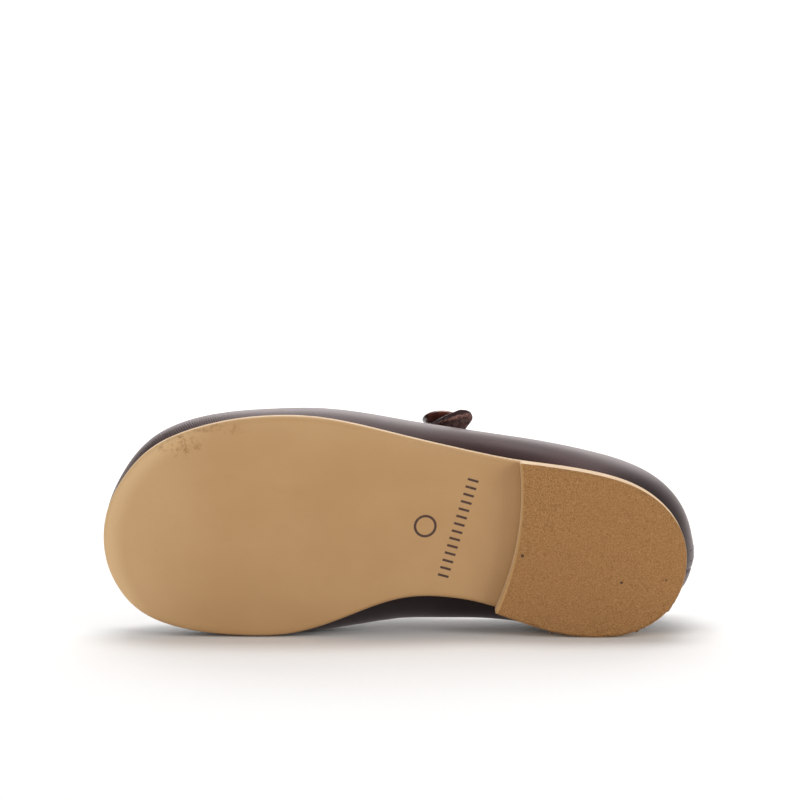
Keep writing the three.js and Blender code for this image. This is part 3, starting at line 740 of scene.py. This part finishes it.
RIM_ABOVE, LAPPED_UP_TO = 22, 8
upper = copy_of("upper")
lining = {face for face in upper.faces if looks_inside(face)}
shell = set(upper.faces) - lining
rim = {f for f in neighbours(lining, lining) if in_shoe(f.calc_center_median())[2] > RIM_ABOVE}
rim |= {f for f in neighbours(rim, rim | lining)
        if in_shoe(f.calc_center_median())[0] < LAPPED_UP_TO and f.normal.dot(UP) > 0.9}
side = {face for face in shell - rim if face.normal.dot(UP) > -0.8}
print("shell", len(shell), "lining", len(lining), "rim", len(rim))

# %% [markdown]
# Stitches run parallel to an edge. Insetting a copy of the faces by the stitch distance draws exactly that
# line, so its points are read from the copy and put in order. This is done before the wall is drawn out,
# because its packed edges are still clean.


# %% Find a line that runs parallel to an edge
def parallel_lines(mesh, faces, distance):
    """Closed lines of (place, normal) that run a distance inside the border of a set of faces."""
    for face in mesh.faces:
        face.tag = face in faces
    work = mesh.copy()
    chosen = {face for face in work.faces if face.tag}
    made = bmesh.ops.inset_region(work, faces=list(chosen), thickness=distance * MM, use_boundary=True,
                                  use_even_offset=True)["faces"]
    band = set(made) - chosen
    inner = [e for e in work.edges if len(e.link_faces) == 2
             and sum(f in band for f in e.link_faces) == 1 and sum(f in chosen for f in e.link_faces) == 1]
    joined = {}
    for edge in inner:
        for vert in edge.verts:
            joined.setdefault(vert, []).append(edge)
    lines, left = [], set(inner)
    for edge in inner:
        if edge not in left:
            continue
        left.discard(edge)
        start, here = edge.verts
        line = [start]
        while here is not start:
            line.append(here)
            onward = [e for e in joined[here] if e in left]
            if not onward:
                break
            left.discard(onward[0])
            here = onward[0].other_vert(here)
        lines.append([(v.co.copy(), v.normal.copy()) for v in line])
    work.free()
    return lines


def mean_height(line):
    """How high above the tread a line runs."""
    return sum(in_shoe(place)[2] for place, _ in line) / len(line)


TOPLINE_DISTANCE = 2.0
topline = max(parallel_lines(upper, side, TOPLINE_DISTANCE), key=mean_height)
print("topline stitches follow", len(topline), "points")

# %% [markdown]
# The lap at the back is where one end of the wall lies over the other. Its edge is the only sharp, outward
# and upright one on the leather's side, so those three signs find it.

# %% Find the lap's edge
lap_edges = [e for e in upper.edges if turns_by(e, 35) and e.is_convex
             and all(f in side for f in e.link_faces)
             and abs((e.verts[1].co - e.verts[0].co).normalized().dot(UP)) > 0.7]
lap_corners = {v for e in lap_edges for v in e.verts}
lap_line = sorted((v for v in upper.verts if v in lap_corners), key=lambda v: v.co.dot(UP))
lap_line = [(v.co.copy(), v.normal.copy()) for v in lap_line]
print("the lap's edge has", len(lap_line), "points")

# %% [markdown]
# The leather is folded over at the top and shows inside for a few millimetres. Insetting all lining faces
# at once makes that border, and pushing them into the wall gives the folded leather its thickness. Painting
# the border on would be quicker, but it would have no edge to catch the light.

# %% Shape the upper
BORDER, BORDER_STEP, LINED_BELOW = 2.6, 0.35, 15
draw_out(upper, wall=True)
bmesh.ops.inset_region(upper, faces=list(lining), thickness=BORDER * MM, depth=-BORDER_STEP * MM,
                       use_boundary=True, use_even_offset=True)
for face in upper.faces:
    low = looks_inside(face) and in_shoe(face.calc_center_median())[2] < LINED_BELOW
    face.material_index = 1 if face in lining or low else 0
crease(upper, 35, 0.7)
hold_size(upper, ROUNDING)
upper_piece = object_from(upper, "upper_shell", [upper_leather, lining_leather], ROUNDING)
put_on(upper_piece, "upper", "upper")

# %% [markdown]
# ## Insole
# A sock of natural leather is glued on the insole board. It is the only part of the inside that a foot
# touches from below, and its edge runs up against the wall.

# %% Finish the insole
insole = copy_of("insole")
crease(insole, 30, 0.6)
hold_size(insole, ROUNDING)
put_on(object_from(insole, "insole_sock", [sock_leather], ROUNDING), "insole", "insole")

# %% [markdown]
# ## Strap
# The strap is smooth leather outside and raw flesh side inside. Its packed node has the true run, so it is
# only rounded, and its free tip is lifted by a millimetre.

# %% Lift the strap's tip
TIP_LIFT, LIFT_FROM, LIFT_TO, LIFT_REACH = 1.25, 6, 19, 13
strap = copy_of("strap")
for vert in strap.verts:
    x, y, _ = vert.co / MM
    vert.co += OUTER * TIP_LIFT * ease(x, LIFT_FROM, LIFT_TO) * ease(y, LIFT_REACH, 0) * MM
strap.normal_update()
print("strap corners", len(strap.verts))

# %% [markdown]
# The strap's finish needs its depth at every corner. Outside and inside are told by comparing each face
# with the nearest wide face of the outside. Corners of the cut edge get a share in between.

# %% Tell the strap's leather from its flesh side
WIDE_FROM, SAME_WAY, EDGE_SHARE = 12, 0.93, 0.23
strap_middle = sum((v.co for v in strap.verts), Vector()) / len(strap.verts)
strap_foot = shoe_place(*in_shoe(strap_middle)[:2], 15)
depth = strap.verts.layers.float.new("depth")
wide = [face for face in strap.faces if face.calc_area() > WIDE_FROM * MM * MM]
upside = [face for face in wide if face.normal.dot(face.calc_center_median() - strap_foot) > 0]


def facing(face):
    """How far a face of the strap turns the same way as the nearest wide face of its outside."""
    middle = face.calc_center_median()
    return face.normal.dot(min(upside, key=lambda f: (f.calc_center_median() - middle).length).normal)


turns = {face: facing(face) for face in strap.faces}
top = {vert for face in strap.faces if turns[face] > SAME_WAY for vert in face.verts}
bottom = {vert for face in strap.faces if turns[face] < -SAME_WAY for vert in face.verts} - top
for vert in strap.verts:
    near_top = vert in top or any(edge.other_vert(vert) in top for edge in vert.link_edges)
    share = 0 if vert in top or vert in bottom else EDGE_SHARE
    vert[depth] = share if near_top else 1 - share
print("strap corners outside", len(top), "inside", len(bottom), "of", len(strap.verts))

# %% [markdown]
# One row of stitches follows the strap's edges all the way round. Its line is taken like that of the
# topline.

# %% Finish the strap
STRAP_DISTANCE = 1.3
strap_lines = parallel_lines(strap, upside, STRAP_DISTANCE)
put_on(object_from(strap, "strap_band", [strap_band], FINE_ROUNDING), "strap", "strap")
print("strap stitches follow", [len(line) for line in strap_lines])

# %% [markdown]
# ## Button
# The packed button is a turned dome on a shallow foot. Rounding alone makes it a pebble, so its widest edge
# is creased a little and keeps the crisp line of a turned rim. The fan of thin triangles at the crown would
# show as a star in the gloss, so it becomes one small round face. Last, the button's place is corrected by
# some tenths of a millimetre.

# %% Finish the button
CAP_BORDER, CAP_STEP, SHIFT = 0.9, 0.04, Vector((-0.6, 0, 0.3))
button = copy_of("button")
poles = sorted(button.verts, key=lambda vert: len(vert.link_edges))[-2:]
bmesh.ops.dissolve_verts(button, verts=[max(poles, key=lambda vert: vert.co.y)])
cap = max(button.faces, key=lambda face: len(face.verts))
bmesh.ops.inset_individual(button, faces=[cap], thickness=CAP_BORDER * MM, depth=CAP_STEP * MM)
crease(button, 40, 0.35)
bmesh.ops.translate(button, verts=button.verts, vec=SHIFT * MM)
put_on(object_from(button, "button_dome", [horn_plastic], FINE_ROUNDING), "button", "button")

# %% [markdown]
# ## Stitches
# Each stitch is a small bead of thread, half sunk in the leather. They are placed at an even pitch along
# the lines found above. A sphere with few faces is enough for something two millimetres long.


# %% Sew
def stations(line, pitch, closed=True):
    """Even places along a line, each with its direction and its normal."""
    points = line + line[:1] if closed else line
    lengths = [(b[0] - a[0]).length for a, b in zip(points, points[1:])]
    count = max(1, round(sum(lengths) / (pitch * MM)))
    step, travelled, index = sum(lengths) / count, 0.0, 0
    for i in range(count):
        target = (i + 0.5) * step
        while travelled + lengths[index] < target:
            travelled += lengths[index]
            index += 1
        share = (target - travelled) / lengths[index]
        (a, normal_a), (b, normal_b) = points[index], points[index + 1]
        yield a.lerp(b, share), (b - a).normalized(), normal_a.lerp(normal_b, share).normalized()


def sew(mesh, line, pitch, size, closed=True, sink=0.1):
    """Adds a row of stitches to a bmesh and returns how many there are."""
    count = 0
    for place, way, normal in stations(line, pitch, closed):
        side = normal.cross(way).normalized()
        turn = Matrix((way, side, way.cross(side))).transposed().to_4x4()
        scale = Matrix.Diagonal((*[s * MM for s in size], 1))
        at = Matrix.Translation(place - normal * sink * MM) @ turn @ scale
        bmesh.ops.create_uvsphere(mesh, u_segments=8, v_segments=5, radius=0.5, matrix=at)
        count += 1
    return count


STRAP_SEAM = {"pitch": 2.4, "size": (1.9, 0.5, 0.42), "sink": 0.2}
SEAM = {"pitch": 2.6, "size": (2.1, 0.55, 0.5)}
print("stitches are", SEAM["size"][0], "mm long, and those of the strap", STRAP_SEAM["size"][0])

# %% [markdown]
# The rows on the wall were measured before it was drawn out and rounded, so their points are moved to the
# nearest place on the finished wall. The long row is smoothed first, so that it runs evenly at the heel.

# %% Place the rows
SMOOTHING, LAP_DISTANCES, BEHIND = 12, (2.2, 5.2), 0.5
upper_tree = BVHTree.FromObject(upper_piece, bpy.context.evaluated_depsgraph_get())


def on_upper(point):
    """The nearest place on the finished upper, with its normal."""
    place, normal, _, _ = upper_tree.find_nearest(point)
    return place, normal


def smoothed(places, times):
    """A closed row of places, with each one moved towards its neighbours several times."""
    for _ in range(times):
        before, after = places[-1:] + places[:-1], places[1:] + places[:1]
        places = [(a + place * 2 + b) / 4 for a, place, b in zip(before, places, after)]
    return places


topline_row = [on_upper(place) for place in smoothed([place for place, _ in topline], SMOOTHING)]
lap_rows = [[on_upper(place + OUTER * distance * MM - TOE * BEHIND * MM) for place, _ in lap_line[1:-1]]
            for distance in LAP_DISTANCES]
stitches = bmesh.new()
counts = [sew(stitches, topline_row, **SEAM)]
counts += [sew(stitches, row, closed=False, **SEAM) for row in lap_rows]
counts += [sew(stitches, line, **STRAP_SEAM) for line in strap_lines]
put_on(object_from(stitches, "stitches", [waxed_thread]), "upper")
print("stitches in each row", counts)

# %% [markdown] ## Finish The growth of the visual shoe beyond the packed one's box is printed; the rounding may add a little softness.

# %% Compare the boxes and finish
low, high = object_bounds()
print("grown in mm", [round(v / MM, 2) for v in (*(cad_low - low), *(high - cad_high))])
